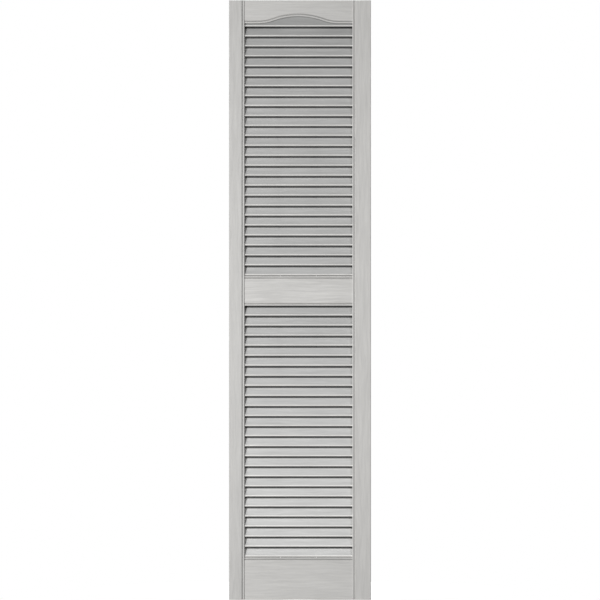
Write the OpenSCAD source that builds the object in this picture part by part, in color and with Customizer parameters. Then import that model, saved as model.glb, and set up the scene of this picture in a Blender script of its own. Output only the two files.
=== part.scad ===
// Louvred exterior shutter, moulded in one piece.
// A hollow-backed panel: two stiles, three rails (the top one arched) and two fields of
// fixed sloping louvres, all one wall thick and open at the back, where it lies on a wall.
// X runs across the panel, Z up it. The front faces -Y and the back rim lies in the wall plane.

/* [Panel] */
// Height of the panel
panel_h = 1555.5; // [1000:0.5:2000]
// Width of the panel
panel_w = 368.3; // [300:0.1:500]
// Depth from the stile faces to the wall plane
panel_d = 27; // [22:0.5:40]
// Wall thickness of the moulding
wall = 2.6; // [2:0.1:3.2]
// Radius of the outer front edges
edge_r = 2; // [1:0.5:2.5]

/* [Stiles] */
// Width of the left stile, from the outer edge to the louvre opening
left_stile_w = 40.1; // [30:0.1:70]
// Width of the right stile, from the outer edge to the louvre opening
right_stile_w = 48.2; // [30:0.1:70]

/* [Bead moulding] */
// Width of the half-round bead that frames each louvre opening
bead_w = 4; // [3:0.5:6]
// Width of the sunk groove beside the bead
groove_w = 3; // [2:0.5:5]

/* [Rails] */
// How far the rail faces lie behind the stile faces
rail_setback = 2.5; // [1:0.5:4]
// Height of the bottom rail, up to the lower opening
bottom_rail_h = 109.5; // [60:0.5:200]
// Height of the middle rail between the two openings
mid_rail_h = 77; // [50:1:120]
// Height from the bottom edge to the underside of the middle rail
mid_rail_z = 763; // [500:1:1000]
// Height of the top rail at the two ends of its arch
top_rail_h = 59.5; // [45:0.5:120]
// Rise of the arch under the top rail
arch_rise = 18.5; // [10:0.5:30]
// Length of straight head at each end of the arch
arch_flat = 33; // [10:1:60]
// Share of the arch's half span that is taken by the crown arc
arch_crown = 0.6; // [0.4:0.05:0.7]

/* [Louvres] */
// Nominal distance between neighbouring louvres
louvre_pitch = 26; // [20:0.5:34]
// Height of the rounded nose along a louvre's front edge
nose_h = 5; // [3.4:0.2:6]
// How far the noses lie behind the stile faces
nose_setback = 4.5; // [3:0.5:8]
// Gap between the lowest nose of a field and the rail under it
nose_gap = 1.5; // [0.5:0.1:2]
// How far the last pitch of the upper field ends below the crown of the arch
crown_gap = 1; // [0:0.1:1.4]
// Thickness of a louvre
louvre_t = 2.4; // [1.6:0.1:3.2]
// How far a louvre rises behind the nose of the next one
louvre_overlap = 1.5; // [1:0.5:4]
// Distance of the louvres' back edges from the wall plane
louvre_back_gap = 4.5; // [2:0.5:6]

/* [Back ribs] */
// Number of upright ribs behind the rails and louvres
rib_count = 2; // [1:1:4]
// Thickness of ribs and webs
rib_t = 2.2; // [1.6:0.1:3]
// Nominal distance between the cross webs in the stiles
web_pitch = 140; // [80:5:200]

/* [Hidden] */
plastic = [0.76, 0.75, 0.73];
$fn = 48;
eps = 0.5;
arc_steps = 6;
bead_steps = 4;

opening_x0 = -panel_w / 2 + left_stile_w;
opening_x1 = panel_w / 2 - right_stile_w;
opening_w = opening_x1 - opening_x0;
opening_cx = (opening_x0 + opening_x1) / 2;

mid_rail_top = mid_rail_z + mid_rail_h;
top_rail_z = panel_h - top_rail_h;

bead_r = bead_w / 2;
moulding_w = bead_w + groove_w;
stile_floor_d = bead_r + wall;
rail_groove_d = rail_setback + bead_r;
rail_back_d = rail_setback + wall;
rail_floor_d = rail_groove_d + wall;

// The arch is a crown arc that runs tangentially into two shoulder arcs.
arch_half = opening_w / 2 - arch_flat;
arch_turn = 2 * atan(arch_rise / arch_half);
arch_radii = arch_half / sin(arch_turn);
crown_r = arch_crown * arch_radii;
shoulder_r = arch_radii - crown_r;

nose_r = nose_h / 2;
nose_cd = nose_setback + nose_r;
louvre_top_d = panel_d - louvre_back_gap;
rib_front_d = louvre_top_d - louvre_t;

web_count = max(1, round(panel_h / web_pitch) - 1);

// Extrudes an outline drawn in depth and height across the panel from x0 to x1.
module across(x0, x1) {
    translate([x0, 0, 0])
        rotate([90, 0, 90])
            linear_extrude(x1 - x0)
                children();
}

// Extrudes an outline drawn in width and height through the depths d0 to d1.
module through(d0, d1) {
    translate([0, d1, 0])
        rotate([90, 0, 0])
            linear_extrude(d1 - d0)
                children();
}

// A box given by two opposite corners in width, depth and height.
module block(low, high) {
    translate(low)
        cube(high - low);
}

// Outline of a bar of length l and depth d with both front corners rounded.
module eased_bar(l, d) {
    difference() {
        square([l, d]);
        for (end = [0, 1])
            translate([end * l, 0])
                mirror([end, 0])
                    difference() {
                        square(edge_r);
                        translate([edge_r, edge_r])
                            circle(edge_r);
                    }
    }
}

// The full block of the panel with its outer front edges eased.
module envelope() {
    intersection() {
        translate([-panel_w / 2, 0, 0])
            linear_extrude(panel_h)
                eased_bar(panel_w, panel_d);
        across(-panel_w / 2, panel_w / 2)
            mirror([1, -1])
                eased_bar(panel_h, panel_d);
    }
}

// Points of the arc about (x, z) from angle a0 to a1.
function arc_points(x, z, r, a0, a1) =
    [for (i = [0 : arc_steps]) let (a = a0 + (a1 - a0) * i / arc_steps)
        [x + r * cos(a), z + r * sin(a)]];

// The arched head line from left to right, moved outwards by g.
function head_line(g) = concat(
    [[opening_x0, top_rail_z + g]],
    arc_points(opening_cx - arch_half, top_rail_z + shoulder_r, shoulder_r - g,
        270, 270 + arch_turn),
    arc_points(opening_cx, top_rail_z + arch_rise - crown_r, crown_r + g,
        90 + arch_turn - arch_turn / arc_steps, 90 - arch_turn + arch_turn / arc_steps),
    arc_points(opening_cx + arch_half, top_rail_z + shoulder_r, shoulder_r - g,
        270 - arch_turn, 270),
    [[opening_x1, top_rail_z + g]]);

function reversed(points) = [for (i = [len(points) - 1 : -1 : 0]) points[i]];

// Outline of the upper opening from height z0 up, with its arched head moved outwards by g.
module arched_outline(z0, g = 0) {
    polygon(concat([[opening_x0, z0]], head_line(g), [[opening_x1, z0]]));
}

// Band along the arched head between the offsets g0 and g1.
module arched_band(g0, g1) {
    polygon(concat(head_line(g1), reversed(head_line(g0))));
}

// Outline of the lower opening.
module lower_outline() {
    translate([opening_x0, bottom_rail_h])
        square([opening_w, mid_rail_z - bottom_rail_h]);
}

// Hollow behind one stile that spans x0 to x1 between its walls, with the moulding at side s.
module stile_hollow(x0, x1, s) {
    face_x0 = s > 0 ? x0 : x0 + moulding_w;
    face_x1 = s > 0 ? x1 - moulding_w : x1;
    block([x0, stile_floor_d, wall], [x1, panel_d + eps, panel_h - wall]);
    block([face_x0, wall, wall], [face_x1, panel_d + eps, panel_h - wall]);
}

// Hollow behind a straight rail from z0 up to its sill at z1, with a bead along its upper
// edge, and along its lower edge too when lower_bead is set.
module rail_hollow(z0, z1, lower_bead) {
    face_z0 = lower_bead ? z0 + moulding_w : z0;
    face_z1 = z1 - moulding_w - wall;
    block([opening_x0, rail_floor_d, z0], [opening_x1, panel_d + eps, z1]);
    block([opening_x0, rail_back_d, face_z0], [opening_x1, panel_d + eps, face_z1]);
}

// Hollow behind the top rail at depth d, kept clear of the arch by g.
module top_hollow(d, g) {
    through(d, panel_d + eps)
        difference() {
            translate([opening_x0, top_rail_z])
                square([opening_w, top_rail_h - wall]);
            arched_outline(top_rail_z - eps, g);
        }
}

// Sunk band along a straight rail edge at height z.
module rail_band(z) {
    block([opening_x0, rail_setback - eps, z], [opening_x1, rail_groove_d, z + moulding_w]);
}

// Straight bead along a rail, with its centre line at height z.
module rail_bead(z) {
    translate([opening_x0, rail_groove_d, z])
        rotate([0, 90, 0])
            cylinder(h = opening_w, r = bead_r);
}

// Bead that follows the arched head: its half round is built up from narrowing bands.
module arch_bead() {
    for (i = [0 : bead_steps - 1]) {
        half = bead_r * cos(90 * i / bead_steps);
        proud = bead_r * sin(90 * (i + 1) / bead_steps);
        through(rail_groove_d - proud, rail_groove_d + eps)
            arched_band(bead_r - half, bead_r + half);
    }
}

// Section of one louvre, in depth and height above its nose, for the pitch p.
module louvre_section(p) {
    top_z = p + louvre_overlap;
    lean = atan((louvre_top_d - nose_cd) / (top_z - nose_r));
    reach = norm([louvre_top_d - nose_cd, top_z - nose_r]);
    translate([nose_cd, nose_r]) {
        circle(nose_r);
        rotate(-lean)
            translate([-nose_r, 0])
                square([louvre_t, reach]);
    }
}

// A field of louvres between heights z0 and z1: noses at an even pitch, the last pitch
// ending under the member above.
module louvres(z0, z1) {
    first_z = z0 + nose_gap;
    count = round((z1 - first_z) / louvre_pitch);
    pitch = (z1 - first_z) / count;
    for (i = [0 : count - 1])
        translate([0, 0, first_z + i * pitch])
            across(opening_x0 - eps, opening_x1 + eps)
                louvre_section(pitch);
}

// Inner wall along the foot of a field, on which its lowest nose sits.
module sill(z) {
    block([opening_x0 - eps, nose_cd, z], [opening_x1 + eps, panel_d, z + wall]);
}

// Inner wall along the head of the lower field.
module head() {
    block([opening_x0 - eps, rail_groove_d, mid_rail_z],
        [opening_x1 + eps, panel_d, mid_rail_z + wall]);
}

// Upright ribs: shallow behind the louvres, full depth behind the rails.
module upright_ribs() {
    for (i = [1 : rib_count]) {
        x = opening_x0 + i * opening_w / (rib_count + 1) - rib_t / 2;
        block([x, rib_front_d, wall / 2], [x + rib_t, panel_d, panel_h - wall / 2]);
        block([x, rail_groove_d, wall / 2], [x + rib_t, panel_d, bottom_rail_h + wall / 2]);
        block([x, rail_groove_d, mid_rail_z + wall / 2],
            [x + rib_t, panel_d, mid_rail_top + wall / 2]);
        difference() {
            block([x, rail_groove_d, top_rail_z], [x + rib_t, panel_d, panel_h - wall / 2]);
            through(0, rib_front_d)
                arched_outline(top_rail_z - eps, wall / 2);
        }
    }
}

// Cross webs that stiffen the hollow stiles.
module stile_webs() {
    step = panel_h / (web_count + 1);
    for (i = [1 : web_count]) {
        z = i * step - rib_t / 2;
        block([-panel_w / 2 + wall / 2, bead_r + wall / 2, z],
            [opening_x0 - wall / 2, panel_d, z + rib_t]);
        block([opening_x1 + wall / 2, bead_r + wall / 2, z],
            [panel_w / 2 - wall / 2, panel_d, z + rib_t]);
    }
}

// The stiles and rails with their hollows, openings and sunk bands.
module frame_shell() {
    difference() {
        envelope();
        stile_hollow(-panel_w / 2 + wall, opening_x0 - wall, 1);
        stile_hollow(opening_x1 + wall, panel_w / 2 - wall, -1);
        rail_hollow(wall, bottom_rail_h, false);
        rail_hollow(mid_rail_z + wall, mid_rail_top, true);
        top_hollow(rail_floor_d, wall);
        top_hollow(rail_back_d, moulding_w + wall);
        block([opening_x0, -eps, -eps], [opening_x1, rail_setback, panel_h + eps]);
        block([opening_x0 - moulding_w, -eps, -eps], [opening_x0, bead_r, panel_h + eps]);
        block([opening_x1, -eps, -eps], [opening_x1 + moulding_w, bead_r, panel_h + eps]);
        rail_band(bottom_rail_h - moulding_w);
        rail_band(mid_rail_z);
        rail_band(mid_rail_top - moulding_w);
        through(rail_setback - eps, rail_groove_d)
            arched_outline(top_rail_z - eps, moulding_w);
        through(-eps, panel_d + eps)
            lower_outline();
        through(-eps, panel_d + eps)
            arched_outline(mid_rail_top);
    }
}

// The half-round beads around both openings.
module beads() {
    for (x = [opening_x0 - bead_r, opening_x1 + bead_r])
        translate([x, bead_r, 0])
            cylinder(h = panel_h, r = bead_r);
    rail_bead(bottom_rail_h - bead_r);
    rail_bead(mid_rail_z + bead_r);
    rail_bead(mid_rail_top - bead_r);
    arch_bead();
}

// The whole moulding.
module shutter() {
    color(plastic)
        translate([0, -panel_d / 2, 0]) {
            frame_shell();
            beads();
            louvres(bottom_rail_h, mid_rail_z);
            intersection() {
                louvres(mid_rail_top, top_rail_z + arch_rise - crown_gap);
                through(0, panel_d)
                    arched_outline(mid_rail_top, wall / 2);
            }
            sill(bottom_rail_h);
            sill(mid_rail_top);
            head();
            upright_ribs();
            stile_webs();
        }
}

shutter();
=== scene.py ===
from math import atan, cos, hypot, pi, radians, sin, sqrt

import bmesh
import bpy
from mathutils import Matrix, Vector


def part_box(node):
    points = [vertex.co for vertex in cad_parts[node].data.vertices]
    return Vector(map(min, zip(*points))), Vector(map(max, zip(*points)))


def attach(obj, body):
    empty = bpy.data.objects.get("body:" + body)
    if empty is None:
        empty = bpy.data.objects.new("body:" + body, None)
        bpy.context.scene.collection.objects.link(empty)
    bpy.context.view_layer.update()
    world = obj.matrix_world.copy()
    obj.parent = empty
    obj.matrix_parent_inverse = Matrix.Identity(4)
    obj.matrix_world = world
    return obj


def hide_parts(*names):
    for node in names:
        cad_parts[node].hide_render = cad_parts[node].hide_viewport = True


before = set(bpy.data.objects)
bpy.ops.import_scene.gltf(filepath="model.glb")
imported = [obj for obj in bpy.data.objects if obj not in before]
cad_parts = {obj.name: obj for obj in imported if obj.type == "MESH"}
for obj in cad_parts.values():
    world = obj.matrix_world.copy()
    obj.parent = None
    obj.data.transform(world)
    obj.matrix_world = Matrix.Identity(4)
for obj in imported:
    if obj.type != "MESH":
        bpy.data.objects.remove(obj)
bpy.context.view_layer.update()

# ---------------------------------------------------------------- the panel's block
# The shutter is one hollow-backed moulding that lies on a house wall. Everything in it is
# set out from the block that the mould closes on: stile faces in front, rim at the back.
mm = 0.001
panel_low, panel_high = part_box("shutter")
panel_d = panel_high.y - panel_low.y
panel_h = panel_high.z - panel_low.z
wall = 2.6 * mm
edge_r = 2 * mm
past = 1 * mm


def in_frame(x, depth, z):
    """A point given by its place across, its depth behind the stile faces and its height."""
    return Vector((x, panel_low.y + depth, panel_low.z + z))


def loft(rings):
    """A closed solid through rings of points that all have the same count."""
    shape = bmesh.new()
    loops = [[shape.verts.new(point) for point in ring] for ring in rings]
    for near, far in zip(loops, loops[1:]):
        for i in range(len(near)):
            shape.faces.new((near[i - 1], near[i], far[i], far[i - 1]))
    shape.faces.new(reversed(loops[0]))
    shape.faces.new(loops[-1])
    bmesh.ops.recalc_face_normals(shape, faces=shape.faces)
    mesh = bpy.data.meshes.new("blank")
    shape.to_mesh(mesh)
    shape.free()
    solid = bpy.data.objects.new("blank", mesh)
    bpy.context.scene.collection.objects.link(solid)
    return solid


def block(x0, depth0, z0, x1, depth1, z1):
    """A plain block between two opposite corners."""
    corners = ((x0, z0), (x1, z0), (x1, z1), (x0, z1))
    return loft([[in_frame(x, depth, z) for x, z in corners] for depth in (depth0, depth1)])


def upright(outline, z0, z1):
    """A bar standing between two heights, whose outline is drawn across and in depth."""
    return loft([[in_frame(x, depth, z) for x, depth in outline] for z in (z0, z1)])


def lying(outline, x0, x1):
    """A bar lying across the panel, whose outline is drawn in depth and height."""
    return loft([[in_frame(x, depth, z) for depth, z in outline] for x in (x0, x1)])


def worked(solid, tools, operation):
    """The solid after each tool is joined to it, cut from it or intersected with it."""
    for tool in tools:
        step = solid.modifiers.new("step", "BOOLEAN")
        step.solver = "MANIFOLD"
        step.operation = operation
        step.object = tool
        result = solid.evaluated_get(bpy.context.evaluated_depsgraph_get())
        mesh = bpy.data.meshes.new_from_object(result)
        solid.modifiers.clear()
        solid.data = mesh
        bpy.data.objects.remove(tool)
    return solid


def arc(centre, r, start, end, steps):
    """Points of an arc from one angle to another, both in degrees."""
    angles = [radians(start + (end - start) * i / steps) for i in range(steps + 1)]
    return [(centre[0] + r * cos(a), centre[1] + r * sin(a)) for a in angles]


# ---------------------------------------------------------------- stiles
# Two hollow upright bars with flat, grained faces. A low rounded bead runs up the inner edge
# of each, and a narrow sunk groove beside it, from which the face swells up in a quarter round.
left_stile_w = 40.1 * mm
right_stile_w = 48.2 * mm
opening_x0 = panel_low.x + left_stile_w
opening_x1 = panel_high.x - right_stile_w
opening_w = opening_x1 - opening_x0
opening_cx = (opening_x0 + opening_x1) / 2
bead_w = 4 * mm
bead_h = bead_w / 2
bead_side_r = 1.3 * mm
bead_crown = 0.2 * mm
bead_tilt = 8
groove_w = 3 * mm
moulding_w = bead_w + groove_w
fillet_r = 0.3 * mm
swell_r = 1.5 * mm


def moulded_edge(setback):
    """Bead, groove and quarter round, as distances from the opening edge and depths."""
    floor = setback + bead_h
    side = setback + bead_crown + bead_side_r
    bead = [(0, floor)] + arc((bead_side_r, side), bead_side_r, 180, 270 - bead_tilt, 5)
    bead += [(bead_w / 2, setback)]
    bead += arc((bead_w - bead_side_r, side), bead_side_r, 270 + bead_tilt, 360, 5)
    bead += [(bead_w, floor)]
    wall_g = moulding_w - swell_r / 3
    fillet = arc((wall_g - fillet_r, floor - fillet_r), fillet_r, 90, 0, 3)
    swell = arc((wall_g + swell_r, setback + swell_r), swell_r, 180, 270, 6)
    return bead + fillet + swell


def stile(edge, inward, width):
    """One stile, drawn outwards from its opening edge and trimmed by the block later."""
    outline = [(0, panel_d)] + moulded_edge(0) + [(width, 0), (width, panel_d)]
    return upright([(edge - inward * g, depth) for g, depth in outline], 0, panel_h)


def stile_hollows(edge, inward, width):
    """What the core takes out of one stile: behind its face, and less deep behind its bead."""
    inner, outer = edge - inward * wall, edge - inward * (width - wall)
    face = edge - inward * (moulding_w + wall)
    floor = bead_h + wall
    back = panel_d + past
    return [
        block(min(inner, outer), floor, wall, max(inner, outer), back, panel_h - wall),
        block(min(face, outer), wall, wall, max(face, outer), back, panel_h - wall),
    ]


body = stile(opening_x0, 1, left_stile_w)
bars = [stile(opening_x1, -1, right_stile_w)]
hollows = stile_hollows(opening_x0, 1, left_stile_w)
hollows += stile_hollows(opening_x1, -1, right_stile_w)

# ---------------------------------------------------------------- straight rails
# The bottom and middle rails lie a little behind the stile faces, grained across. The same
# bead and groove run along each edge that faces a field of louvres.
rail_setback = 2.5 * mm
bottom_rail_h = 109.5 * mm
mid_rail_h = 77 * mm
mid_rail_z = 763 * mm
mid_rail_top = mid_rail_z + mid_rail_h
rail_edge_r = 1.6 * mm
rail_floor = rail_setback + bead_h + wall
rail_x0 = opening_x0 - wall / 2
rail_x1 = opening_x1 + wall / 2


def rail_hollows(z0, z1, face_z0):
    """What the core takes out of a rail between two heights, under the louvres' sill."""
    back = panel_d + past
    face_z1 = z1 - moulding_w - wall
    return [
        block(opening_x0, rail_floor, z0, opening_x1, back, z1),
        block(opening_x0, rail_setback + wall, face_z0, opening_x1, back, face_z1),
    ]


edge = moulded_edge(rail_setback)
foot = arc((rail_setback + rail_edge_r, rail_edge_r), rail_edge_r, 180, 270, 5)
bottom = [(panel_d, bottom_rail_h)] + [(depth, bottom_rail_h - g) for g, depth in edge]
bars.append(lying(bottom + foot + [(panel_d, 0)], rail_x0, rail_x1))
upper = [(depth, mid_rail_top - g) for g, depth in edge]
lower = [(depth, mid_rail_z + g) for g, depth in reversed(edge)]
middle = [(panel_d, mid_rail_top)] + upper + lower + [(panel_d, mid_rail_z)]
bars.append(lying(middle, rail_x0, rail_x1))
hollows += rail_hollows(wall, bottom_rail_h, wall)
hollows += rail_hollows(mid_rail_z + wall, mid_rail_top, mid_rail_z + wall + moulding_w)

# ---------------------------------------------------------------- arched top rail
# The top rail's lower edge rises in the middle: a crown arc that runs smoothly into two
# shoulder arcs and then into short straight ends. Bead and groove follow it all the way.
top_rail_h = 59.5 * mm
top_rail_z = panel_h - top_rail_h
arch_rise = 18.5 * mm
arch_flat = 33 * mm
arch_crown = 0.6
arch_half = opening_w / 2 - arch_flat
arch_turn = 2 * atan(arch_rise / arch_half)
arch_radii = arch_half / sin(arch_turn)
crown_r = arch_crown * arch_radii
shoulder_r = arch_radii - crown_r
crown_z = top_rail_z + arch_rise - crown_r
arch_steps = 14


def head_line(x0, x1):
    """Places along the rail's lower edge: across, height, and the slope there."""
    slopes = [arch_turn * i / arch_steps for i in range(arch_steps + 1)]
    line = [(x0, top_rail_z, 0)]
    for a in slopes:
        x = opening_cx - arch_half + shoulder_r * sin(a)
        line.append((x, top_rail_z + shoulder_r * (1 - cos(a)), a))
    for a in slopes[-2::-1] + [-a for a in slopes[1:-1]]:
        line.append((opening_cx - crown_r * sin(a), crown_z + crown_r * cos(a), a))
    for a in reversed(slopes):
        x = opening_cx + arch_half - shoulder_r * sin(a)
        line.append((x, top_rail_z + shoulder_r * (1 - cos(a)), -a))
    return line + [(x1, top_rail_z, 0)]


def top_rail_solid(x0, x1, edge, top):
    """A solid along the arched line: edge offsets and depths below, a straight top above."""
    rings = []
    for x, z, slope in head_line(x0, x1):
        ring = [in_frame(x - g * sin(slope), depth, z + g * cos(slope)) for g, depth in edge]
        ring += [in_frame(x, depth, height) for depth, height in top]
        rings.append(ring)
    return loft(rings)


head = arc((rail_setback + rail_edge_r, panel_h - rail_edge_r), rail_edge_r, 180, 90, 5)
head_edge = [(0, panel_d)] + edge
bars.append(top_rail_solid(rail_x0, rail_x1, head_edge, head + [(panel_d, panel_h)]))


def top_hollow(depth, g):
    """What the core takes out of the top rail from a depth back, clear of the arch by g."""
    back = panel_d + past
    top = [(depth, panel_h - wall), (back, panel_h - wall)]
    return top_rail_solid(opening_x0, opening_x1, [(g, back), (g, depth)], top)


hollows += [top_hollow(rail_floor, wall), top_hollow(rail_setback + wall, moulding_w + wall)]

# The block itself: the joined bars are trimmed to it, so that all outer front edges are eased.
trim = block(panel_low.x, 0, 0, panel_high.x, panel_d, panel_h)
tiny = 1e-6
shape = bmesh.new()
shape.from_mesh(trim.data)
front = [e for e in shape.edges if all(abs(v.co.y - panel_low.y) < tiny for v in e.verts)]
bmesh.ops.bevel(shape, geom=front, offset=edge_r, segments=6, profile=0.5, affect="EDGES")
shape.to_mesh(trim.data)
shape.free()

body = worked(body, bars, "UNION")
body = worked(body, [trim], "INTERSECT")
body = worked(body, hollows, "DIFFERENCE")

# ---------------------------------------------------------------- louvres
# Fixed sloping slats with a rounded nose, moulded with the stiles at both ends. Each rises
# behind the nose of the next, so that rain stays out and nothing shows through from ahead.
louvre_pitch = 26 * mm
nose_r = 2.5 * mm
nose_turn = 262
nose_setback = 4.5 * mm
nose_depth = nose_setback + nose_r
nose_gap = 1.5 * mm
crown_gap = 1 * mm
louvre_t = 2.4 * mm
louvre_overlap = 1.5 * mm
louvre_back_gap = 4.5 * mm
louvre_top = panel_d - louvre_back_gap


def louvre_outline(z, pitch):
    """Section of one louvre whose nose starts at height z: nose, face, top edge and back."""
    centre = (nose_depth, z + nose_r)
    rise = pitch + louvre_overlap - nose_r
    lean = atan((louvre_top - nose_depth) / rise)
    reach = hypot(louvre_top - nose_depth, rise) - louvre_t / 2
    along = (sin(lean), cos(lean))
    out = (-cos(lean), sin(lean))
    middle = nose_r - louvre_t / 2
    top = [centre[i] + middle * out[i] + reach * along[i] for i in (0, 1)]
    face = 180 - lean * 180 / pi
    back = sqrt(nose_r ** 2 - (nose_r - louvre_t) ** 2)
    last = [centre[i] + (nose_r - louvre_t) * out[i] + back * along[i] for i in (0, 1)]
    nose = arc(centre, nose_r, face + nose_turn, face, 18)
    return [tuple(last)] + nose + arc(top, louvre_t / 2, face, face - 180, 6)


def louvre_field(z0, z1):
    """All louvres between two heights, evenly spaced, as one list of bars."""
    first = z0 + nose_gap
    count = round((z1 - first) / louvre_pitch)
    pitch = (z1 - first) / count
    return [
        lying(louvre_outline(first + i * pitch, pitch), rail_x0, rail_x1)
        for i in range(count)
    ]


upper_field = louvre_field(mid_rail_top, top_rail_z + arch_rise - crown_gap)
arched_light = [(x, z) for x, z, slope in head_line(rail_x0, rail_x1)]
arched_light = [(rail_x0, mid_rail_top)] + arched_light + [(rail_x1, mid_rail_top)]
arched_louvres = (-1, -2, -3)
for i in arched_louvres:
    light = loft([
        [in_frame(x, depth, z + wall / 2) for x, z in arched_light]
        for depth in (0, panel_d)
    ])
    upper_field[i] = worked(upper_field[i], [light], "INTERSECT")
body = worked(body, louvre_field(bottom_rail_h, mid_rail_z) + upper_field, "UNION")

# ---------------------------------------------------------------- back ribs and webs
# Inner walls close the rails behind the lowest and highest louvres. Two upright ribs tie the
# louvres together at the back, and thin cross webs stiffen the hollow stiles.
rib_t = 2.2 * mm
rib_count = 2
rib_front = louvre_top - louvre_t
web_count = 10
rail_groove = rail_setback + bead_h
inner_walls = [
    block(rail_x0, nose_depth, z, rail_x1, panel_d, z + wall)
    for z in (bottom_rail_h, mid_rail_top)
]
inner_walls.append(block(rail_x0, rail_groove, mid_rail_z, rail_x1, panel_d, mid_rail_z + wall))
for i in range(1, rib_count + 1):
    x = opening_x0 + i * opening_w / (rib_count + 1)
    head_z = crown_z + sqrt(crown_r ** 2 - (x - opening_cx) ** 2) + wall / 2
    outline = [
        (panel_d, wall / 2),
        (rail_groove, wall / 2),
        (rail_groove, bottom_rail_h + wall / 2),
        (rib_front, bottom_rail_h + wall / 2),
        (rib_front, mid_rail_z + wall / 2),
        (rail_groove, mid_rail_z + wall / 2),
        (rail_groove, mid_rail_top + wall / 2),
        (rib_front, mid_rail_top + wall / 2),
        (rib_front, head_z),
        (rail_groove + wall / 2, head_z),
        (rail_groove + wall / 2, panel_h - wall / 2),
        (panel_d, panel_h - wall / 2),
    ]
    inner_walls.append(lying(outline, x - rib_t / 2, x + rib_t / 2))
for i in range(1, web_count + 1):
    z = i * panel_h / (web_count + 1) - rib_t / 2
    outer_x0, inner_x0 = panel_low.x + wall / 2, opening_x0 - wall / 2
    inner_x1, outer_x1 = opening_x1 + wall / 2, panel_high.x - wall / 2
    web_front = bead_h + wall / 2
    inner_walls.append(block(outer_x0, web_front, z, inner_x0, panel_d, z + rib_t))
    inner_walls.append(block(inner_x1, web_front, z, outer_x1, panel_d, z + rib_t))
body = worked(body, inner_walls, "UNION")

# ---------------------------------------------------------------- the finished moulding
# One shot of plastic fills the whole mould, so stiles, rails, louvres and ribs come out as one
# piece with no joints. Its rounds are smooth, and the edges between its faces stay crisp.
body.name = "shutter_moulding"
shape = bmesh.new()
shape.from_mesh(body.data)
bmesh.ops.remove_doubles(shape, verts=shape.verts, dist=tiny)
bmesh.ops.dissolve_degenerate(shape, edges=shape.edges, dist=tiny)
shape.to_mesh(body.data)
shape.free()
crease = radians(32)
body.data.shade_smooth()
body.data.set_sharp_from_angle(angle=crease)
even = body.modifiers.new("even_normals", "WEIGHTED_NORMAL")
even.keep_sharp = True
even.weight = 90

# ---------------------------------------------------------------- through-coloured plastic
# A warm light grey plastic with a satin finish, coloured right through. The front of the mould
# embosses a wood grain on each member: up the stiles, across the rails, along each louvre.
# Its colour also carries painted shadow, painted shade and painted highlights, set out below.
grey = (0.575, 0.567, 0.551, 1)
# Painted shade: the louvres' sloping faces take a slightly darker, cooler copy of the grey.
slope_shade_grey = (0.555, 0.556, 0.55, 1)
# Painted shadow: near black, painted deep between the louvres and over each sill.
pocket_shadow_grey = (0.05, 0.05, 0.05, 1)


class Port:
    """A socket of a material, on which shader maths is written as ordinary sums."""

    tree = None

    def __init__(self, socket):
        self.socket = socket

    @classmethod
    def node(cls, kind, settings, inputs, output=0):
        """The output of a new node, made from its type, its settings and its inputs."""
        made = cls.tree.nodes.new("ShaderNode" + kind)
        for name, value in settings.items():
            setattr(made, name, value)
        for name, value in inputs.items():
            if isinstance(value, Port):
                cls.tree.links.new(value.socket, made.inputs[name])
            else:
                made.inputs[name].default_value = value
        return cls(made.outputs[output])

    def maths(self, operation, first, second):
        return Port.node("Math", {"operation": operation}, {0: first, 1: second})

    def __add__(self, other):
        return self.maths("ADD", self, other)

    def __radd__(self, other):
        return self.maths("ADD", other, self)

    def __sub__(self, other):
        return self.maths("SUBTRACT", self, other)

    def __rsub__(self, other):
        return self.maths("SUBTRACT", other, self)

    def __mul__(self, other):
        return self.maths("MULTIPLY", self, other)

    def __rmul__(self, other):
        return self.maths("MULTIPLY", other, self)

    def __truediv__(self, other):
        return self.maths("DIVIDE", self, other)

    def __gt__(self, other):
        return self.maths("GREATER_THAN", self, other)

    def __lt__(self, other):
        return self.maths("LESS_THAN", self, other)

    def whole(self):
        return self.maths("FLOOR", self, 0)

    def size(self):
        return self.maths("ABSOLUTE", self, 0)

    def root(self):
        return self.maths("SQRT", self, 0)

    def parts(self):
        """The three parts of a vector."""
        split = Port.node("SeparateXYZ", {}, {"Vector": self}).socket.node
        return [Port(output) for output in split.outputs]

    def eased(self, low, high, at_low=0.0, at_high=1.0):
        """The value carried smoothly from one range to another and held beyond it."""
        settings = {"interpolation_type": "SMOOTHSTEP"}
        inputs = {
            "Value": self, "From Min": low, "From Max": high, "To Min": at_low, "To Max": at_high,
        }
        return Port.node("MapRange", settings, inputs)

    def mixed(self, first, second):
        """Two colours, mixed by this share of the second."""
        inputs = {0: self, 6: first, 7: second}
        return Port.node("Mix", {"data_type": "RGBA"}, inputs, output=2)


plastic = bpy.data.materials.new("through_coloured_plastic")
plastic.use_nodes = True
Port.tree = plastic.node_tree
shader = plastic.node_tree.nodes["Principled BSDF"]
x, y, z = Port.node("TexCoord", {}, {}, output=3).parts()
facing = Port.node("NewGeometry", {}, {}, output=1).parts()
depth = y - panel_low.y
rising = facing[2]
on_front = facing[1] < 0.3

# Which member a spot is on. What lies behind the top rail's head is told by its depth.
beside_rail = 0.05 * mm
on_left = x < opening_x0
on_right = x > opening_x1
on_stile = on_left + on_right
in_lower = (z > bottom_rail_h) * (z < mid_rail_z)
behind_head = (z < top_rail_z - 2 * mm) + (depth > rail_groove + beside_rail)
in_upper = (z > mid_rail_top) * (behind_head > 0.5)
in_field = (in_lower + in_upper) * (1 - on_stile)
on_middle = (z > mid_rail_z) * (z < mid_rail_top) * (1 - on_stile)
louvre_number = ((z - nose_gap) / louvre_pitch).whole()
board = on_right * 2.3 + in_field * (louvre_number * 0.61 + 1.3) + on_middle * 5.2


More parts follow.
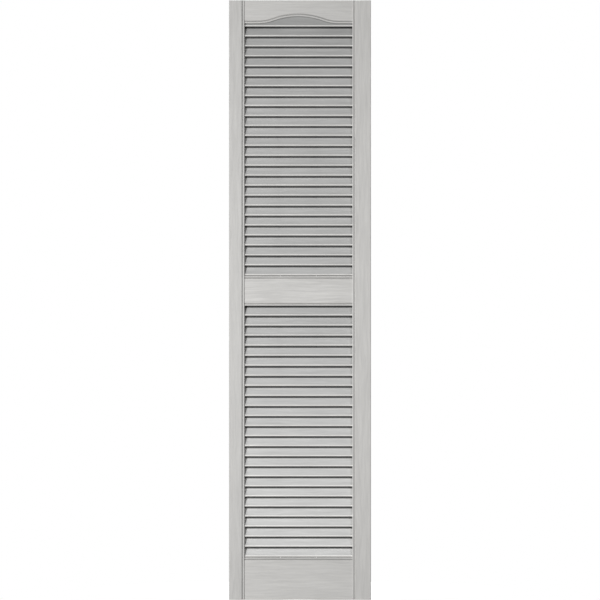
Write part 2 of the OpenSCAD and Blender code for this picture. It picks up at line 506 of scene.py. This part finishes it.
def streaks(along, across, board, length, thickness, detail):
    """Noise drawn out along the grain, different on each board, from 0 to 1."""
    place = Port.node("CombineXYZ", {}, {
        "X": along / length + board * 3.7, "Y": across / thickness, "Z": board * 9.1,
    })
    settings = {"noise_dimensions": "3D"}
    return Port.node("TexNoise", settings, {
        "Vector": place, "Scale": 1.0, "Detail": detail, "Roughness": 0.55,
    })


# The grain: wavering bands of broad and fine ridges, short pores, and faint clouds of tone.
along = x + (z - x) * on_stile
across = z + (x - z) * on_stile
bend = streaks(along, across, board, 90 * mm, 26 * mm, 2.0) - 0.5
ripple = streaks(along, across, board + 4.4, 22 * mm, 12 * mm, 1.0) - 0.5
across = across + bend * (14 * mm) + ripple * (2.5 * mm)
broad = streaks(along, across, board, 110 * mm, 5.5 * mm, 2.0) - 0.5
fine = streaks(along, across, board + 1.9, 46 * mm, 1.5 * mm, 3.0) - 0.5
pores = streaks(along, across, board + 3.1, 9 * mm, 0.55 * mm, 1.0).eased(0.62, 0.7) * on_front
cloud = streaks(along, across, board + 7.7, 160 * mm, 60 * mm, 2.0) - 0.5
grain_depth = (0.8 + 0.3 * on_middle) * on_front
tone = 1 + (broad * 0.38 + fine * 0.26) * grain_depth + cloud * 0.14 - pores * 0.06

# Painted shadow: the plastic turns near black deep between the louvres and in the gap over each
# sill, where little light gets.
pocket_shadow_start = 14.8 * mm
pocket_shadow_full = 16 * mm
sill_gap_depth = nose_depth - 0.1 * mm
sill_gap_shade = 0.8
last_nose = top_rail_z - 4 * mm
up_slope = rising.eased(0.44, 0.52) * in_field
pocket_shadow = up_slope * depth.eased(pocket_shadow_start, pocket_shadow_full) * (z < last_nose)
over_sill = (z - bottom_rail_h) * (z < mid_rail_z) + (z - mid_rail_top) * (z > mid_rail_z)
under_nose = (over_sill < nose_gap) * (over_sill > 0) * in_field * (depth > sill_gap_depth)
pocket_shadow = pocket_shadow + under_nose * sill_gap_shade
grey_with_painted_shade = pocket_shadow.mixed(up_slope.mixed(grey, slope_shade_grey), pocket_shadow_grey)

# A soft painted shade hugs the arch, below its crown arc, its shoulder arcs and its straight
# ends.
head_shade = 0.36
side = (x - opening_cx).size()
in_crown = side < crown_r * sin(arch_turn)
in_shoulder = (side < arch_half) * (1 - in_crown)
at_end = 1 - in_crown - in_shoulder
under_crown = crown_r - (side * side + (z - crown_z) * (z - crown_z)).root()
shoulder_z = top_rail_z + shoulder_r
from_shoulder = (side - arch_half) * (side - arch_half) + (z - shoulder_z) * (z - shoulder_z)
below = under_crown * in_crown + (from_shoulder.root() - shoulder_r) * in_shoulder
below = below + (top_rail_z - z) * at_end
under_head = up_slope * (z > last_nose) * below.eased(1 * mm, 3.6 * mm, head_shade, 0.0)

# Painted highlight on the noses, and painted light on the louvres that grows from a slight shade
# high up to a brightening at the foot of the panel, with painted shade on the upper sloping
# faces.
nose_light = 0.36
field_shade = 0.06
foot_light = 0.16
top_shade = 0.12
on_nose = in_field * (1 - up_slope) * rising.eased(-0.7, -0.1)
low_light = z.eased(1.1 * mid_rail_z, 0.1 * mid_rail_z, -field_shade, foot_light) * in_field
high_shade = z.eased(1.6 * mid_rail_z, panel_h, 0.0, top_shade) * up_slope
tone = tone * (1 - under_head) * (1 + on_nose * nose_light)
tone = tone * (1 + low_light - high_shade)

# Painted shade: the grooves beside the beads are darker, most on the left, and so are the
# louvres' ends and, a little, the whole left stile.
left_groove_shade = 0.42
right_groove_shade = 0.2
left_end_shade = 0.32
right_end_shade = 0.26
left_stile_shade = 0.07
sunk = depth - (1 - on_stile) * rail_setback
beside = (x > opening_x0 - moulding_w) * (x < opening_x1 + moulding_w) * (1 - in_field)
in_groove = sunk.eased(1.3 * mm, 1.9 * mm) * (sunk < bead_h + 0.1 * mm) * beside
groove_shade = left_groove_shade - (left_groove_shade - right_groove_shade) * on_right
left_end = x.eased(opening_x0 + 11 * mm, opening_x0, 0.0, left_end_shade) * up_slope
right_end = x.eased(opening_x1 - 9 * mm, opening_x1, 0.0, right_end_shade) * up_slope
tone = tone * (1 - in_groove * groove_shade) * (1 - left_end - right_end)
tone = tone * (1 - on_left * left_stile_shade)

# The colour: the grey with its grain, times the painted shade, shadow and highlights above.
colour = Port.node("VectorMath", {"operation": "SCALE"}, {0: grey_with_painted_shade, "Scale": tone})
gloss = 0.5 + broad * 0.15 + fine * 0.2 + pores * 0.12
relief = (broad * 0.6 + fine * 0.8) * grain_depth - pores * 0.35
bump = Port.node("Bump", {}, {"Strength": 0.5, "Distance": 0.25 * mm, "Height": relief})
for name, port in (("Base Color", colour), ("Roughness", gloss), ("Normal", bump)):
    plastic.node_tree.links.new(port.socket, shader.inputs[name])
body.data.materials.clear()
body.data.materials.append(plastic)
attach(body, "root")
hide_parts("shutter")

# ---------------------------------------------------------------- floor
# The panel stands on a plain pale studio floor, a matt disc that lies under it and behind it.
# The floor glows faintly, so that it stays nearly as white as the surroundings.
floor_r = 0.56
floor_y = 0.548
floor_gap = 0.2 * mm
shape = bmesh.new()
bmesh.ops.create_circle(shape, cap_ends=True, radius=floor_r, segments=96)
floor_mesh = bpy.data.meshes.new("floor")
shape.to_mesh(floor_mesh)
shape.free()
floor = bpy.data.objects.new("floor", floor_mesh)
bpy.context.scene.collection.objects.link(floor)
floor.location = (0, floor_y, panel_low.z - floor_gap)
pale = bpy.data.materials.new("pale_floor")
pale.use_nodes = True
pale_inputs = pale.node_tree.nodes["Principled BSDF"].inputs
pale_inputs["Base Color"].default_value = (0.86, 0.86, 0.85, 1)
pale_inputs["Roughness"].default_value = 0.8
pale_inputs["Emission Color"].default_value = (1, 1, 1, 1)
pale_inputs["Emission Strength"].default_value = 0.5
floor_mesh.materials.append(pale)


# ---------------------------------------------------------------- lamps and surroundings
# One soft lamp on the left at mid-height does most of the work, with a weak one on the right.
# Two more light the back and the top. The room is white to look at but gives little light.
def softbox(name, azimuth, distance, height, size, power):
    """A square lamp at an azimuth seen from straight ahead, turned towards the panel."""
    light = bpy.data.lights.new(name, "AREA")
    light.shape = "SQUARE"
    light.size = size
    light.energy = power
    lamp = bpy.data.objects.new(name, light)
    bpy.context.scene.collection.objects.link(lamp)
    a = radians(azimuth)
    lamp.location = (distance * sin(a), -distance * cos(a), height)
    towards = lamp.location - Vector((0, 0, panel_h / 2))
    lamp.rotation_euler = towards.to_track_quat("Z", "Y").to_euler()


softbox("key", -27, 3.1, 0.76, 0.3, 84)
softbox("fill", 30, 2.6, 0.8, 0.8, 3)
softbox("back", 150, 2.6, 1.9, 1.2, 60)
softbox("top", 180, 0.7, 3.1, 1.0, 22)

white = (1, 1, 1, 1)
scene = bpy.context.scene
scene.world = bpy.data.worlds.new("studio")
scene.world.use_nodes = True
nodes, links = scene.world.node_tree.nodes, scene.world.node_tree.links
room = nodes["Background"]
room.inputs["Color"].default_value = white
room.inputs["Strength"].default_value = 0.15
backdrop = nodes.new("ShaderNodeBackground")
backdrop.inputs["Color"].default_value = white
backdrop.inputs["Strength"].default_value = 1.0
ray = nodes.new("ShaderNodeLightPath")
mix = nodes.new("ShaderNodeMixShader")
links.new(ray.outputs["Is Camera Ray"], mix.inputs["Fac"])
links.new(room.outputs["Background"], mix.inputs[1])
links.new(backdrop.outputs["Background"], mix.inputs[2])
links.new(mix.outputs["Shader"], nodes["World Output"].inputs["Surface"])

# ---------------------------------------------------------------- camera
# The panel is seen straight on from mid-height, through a long lens from far away, so that its
# sides stay parallel. The panel fills the height of the frame.
scene.view_settings.view_transform = "Standard"
camera_data = bpy.data.cameras.new("camera")
camera = bpy.data.objects.new("camera", camera_data)
scene.collection.objects.link(camera)
scene.camera = camera
camera_data.lens = 400
camera_data.sensor_width = 36
camera_data.clip_end = 100
frame_h = 1.0009 * panel_h
distance = frame_h * camera_data.lens / camera_data.sensor_width
camera.location = (0, panel_low.y - distance, panel_h / 2)
camera.rotation_euler = (pi / 2, 0, 0)
